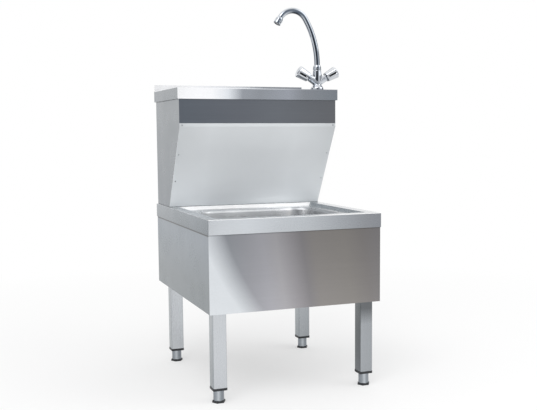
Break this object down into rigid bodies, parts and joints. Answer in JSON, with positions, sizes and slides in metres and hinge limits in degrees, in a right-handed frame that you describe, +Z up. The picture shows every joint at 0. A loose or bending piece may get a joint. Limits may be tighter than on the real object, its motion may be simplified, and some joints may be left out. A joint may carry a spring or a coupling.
{
  "type": "stainless steel hand wash and utility sink",
  "caption": "Floor-standing stainless hand basin with a mixer tap on a cabinet behind a deep low utility sink, on legs with adjustable feet.",
  "frame": {"origin": "on the floor, at the centre of the box that holds the whole unit with its tap handles", "axes": "+X to the right of a person who uses it, +Y to the wall behind, +Z up"},
  "size_m": [0.5282, 0.6, 1.0979],
  "materials": {
    "stainless": "satin brushed stainless sheet",
    "frame_steel": "satin stainless tube and channel",
    "foot_steel": "smooth stainless sleeve and threaded rod",
    "black_plastic": "black nylon",
    "screw_steel": "plain stainless fasteners",
    "waste_steel": "polished stainless waste fitting",
    "rubber": "black sealing rubber",
    "white_plastic": "white polypropylene",
    "chrome": "polished chrome plate on brass",
    "brass": "turned brass",
    "jet_plastic": "grey plastic jet insert"
  },
  "bodies": {
    "cabinet": {"sink_top": "stainless", "sink_bowl": "stainless", "apron_front": "stainless", "apron_rear": "stainless", "apron_left": "stainless", "apron_right": "stainless", "upper_top": "stainless", "hand_bowl": "stainless", "upper_side_left": "stainless", "upper_side_right": "stainless", "upper_back": "stainless", "front_band": "stainless", "access_panel": "stainless", "rail_left": "frame_steel", "rail_right": "frame_steel", "leg_front_left": "frame_steel", "leg_front_right": "frame_steel", "leg_rear_left": "frame_steel", "leg_rear_right": "frame_steel", "leg_insert_front_left": "black_plastic", "leg_insert_front_right": "black_plastic", "leg_insert_rear_left": "black_plastic", "leg_insert_rear_right": "black_plastic", "leg_bolts": "screw_steel", "panel_screws": "screw_steel", "lip_screws": "screw_steel", "tap_washer": "screw_steel", "tap_stud": "screw_steel", "tap_nut": "screw_steel", "sink_strainer": "waste_steel", "hand_strainer": "waste_steel", "sink_waste_gasket": "rubber", "hand_waste_gasket": "rubber", "tap_gasket": "rubber", "sink_waste_tee": "white_plastic", "hand_waste_body": "white_plastic", "waste_pipe": "white_plastic", "waste_nuts": "white_plastic", "tap_body": "chrome", "spout_collar": "chrome", "headwork_left": "brass", "headwork_right": "brass"},
    "spout": {"spout": "chrome", "aerator_housing": "chrome", "aerator_insert": "jet_plastic"},
    "tap_handle_left": {"handle_left": "chrome", "handle_cap_left": "chrome", "spindle_left": "brass"},
    "tap_handle_right": {"handle_right": "chrome", "handle_cap_right": "chrome", "spindle_right": "brass"},
    "foot_front_left": {"foot_stem_front_left": "foot_steel", "foot_base_front_left": "black_plastic"},
    "foot_front_right": {"foot_stem_front_right": "foot_steel", "foot_base_front_right": "black_plastic"},
    "foot_rear_left": {"foot_stem_rear_left": "foot_steel", "foot_base_rear_left": "black_plastic"},
    "foot_rear_right": {"foot_stem_rear_right": "foot_steel", "foot_base_rear_right": "black_plastic"}
  },
  "joints": [
    {"name": "spout_swivel", "type": "hinge", "parent": "cabinet", "child": "spout", "pos_m": [0.19268, 0.05, 0.915], "axis": [0, 0, 1], "continuous": true},
    {"name": "handle_left_turn", "type": "hinge", "parent": "cabinet", "child": "tap_handle_left", "pos_m": [0.15736, 0.05, 0.89278], "axis": [-0.8829, 0, 0.4695], "range_deg": [0, 180]},
    {"name": "handle_right_turn", "type": "hinge", "parent": "cabinet", "child": "tap_handle_right", "pos_m": [0.228, 0.05, 0.89278], "axis": [0.8829, 0, 0.4695], "range_deg": [0, 180]},
    {"name": "foot_front_left_height", "type": "slide", "parent": "cabinet", "child": "foot_front_left", "axis": [0, 0, -1], "range_m": [-0.01, 0.025]},
    {"name": "foot_front_right_height", "type": "slide", "parent": "cabinet", "child": "foot_front_right", "axis": [0, 0, -1], "range_m": [-0.01, 0.025]},
    {"name": "foot_rear_left_height", "type": "slide", "parent": "cabinet", "child": "foot_rear_left", "axis": [0, 0, -1], "range_m": [-0.01, 0.025]},
    {"name": "foot_rear_right_height", "type": "slide", "parent": "cabinet", "child": "foot_rear_right", "axis": [0, 0, -1], "range_m": [-0.01, 0.025]}
  ]
}
